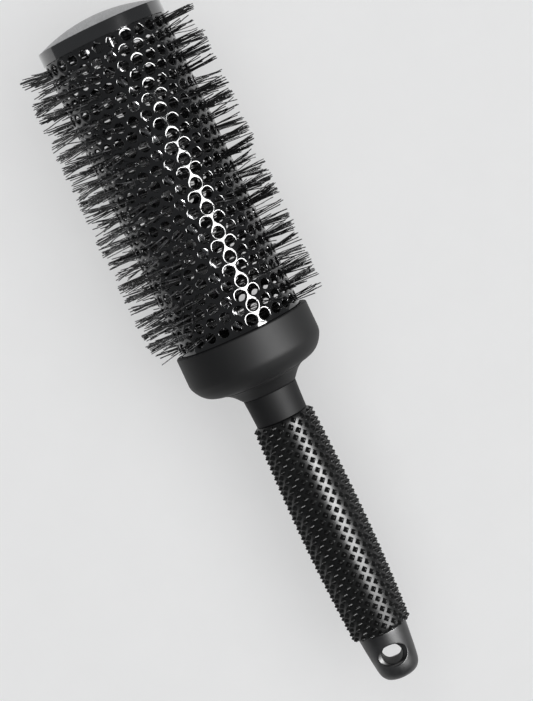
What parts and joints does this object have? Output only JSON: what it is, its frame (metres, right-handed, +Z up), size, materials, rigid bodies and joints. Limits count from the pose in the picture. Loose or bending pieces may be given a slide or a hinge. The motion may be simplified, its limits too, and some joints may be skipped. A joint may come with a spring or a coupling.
{
  "type": "round barrel brush",
  "caption": "Vented round hair brush: perforated barrel with radial nylon bristles, moulded collar, studded rubber grip and a tip with a hanging hole.",
  "frame": {"origin": "centre of the underside of the bounding box, on the surface that the brush lies on", "axes": "+X along the brush from the barrel's end cap to the handle's tip, +Z up along the axis of the hanging hole, as the brush lies on its bristles"},
  "size_m": [0.2846, 0.0738, 0.0737],
  "materials": {
    "barrel_coating": "gloss",
    "cap_plastic": "satin",
    "disc_metal": "satin",
    "bristle_nylon": "satin",
    "collar_plastic": "satin",
    "neck_plastic": "satin",
    "grip_rubber": "satin",
    "handle_plastic": "satin",
    "stem_steel": "satin",
    "inner_plastic": "matte"
  },
  "bodies": {
    "root": {"barrel_seat": "inner_plastic", "barrel_tube": "barrel_coating", "bristle_row_01": "bristle_nylon", "bristle_row_02": "bristle_nylon", "bristle_row_03": "bristle_nylon", "bristle_row_04": "bristle_nylon", "bristle_row_05": "bristle_nylon", "bristle_row_06": "bristle_nylon", "bristle_row_07": "bristle_nylon", "bristle_row_08": "bristle_nylon", "bristle_row_09": "bristle_nylon", "bristle_row_10": "bristle_nylon", "bristle_row_11": "bristle_nylon", "bristle_row_12": "bristle_nylon", "collar": "collar_plastic", "end_cap": "cap_plastic", "end_cap_disc": "disc_metal", "grip_sleeve": "grip_rubber", "handle_core": "handle_plastic", "neck_sleeve": "neck_plastic", "stem_socket": "stem_steel", "stem_tip_bush": "inner_plastic", "stem_wire_a": "stem_steel", "stem_wire_b": "stem_steel"}
  },
  "joints": []
}
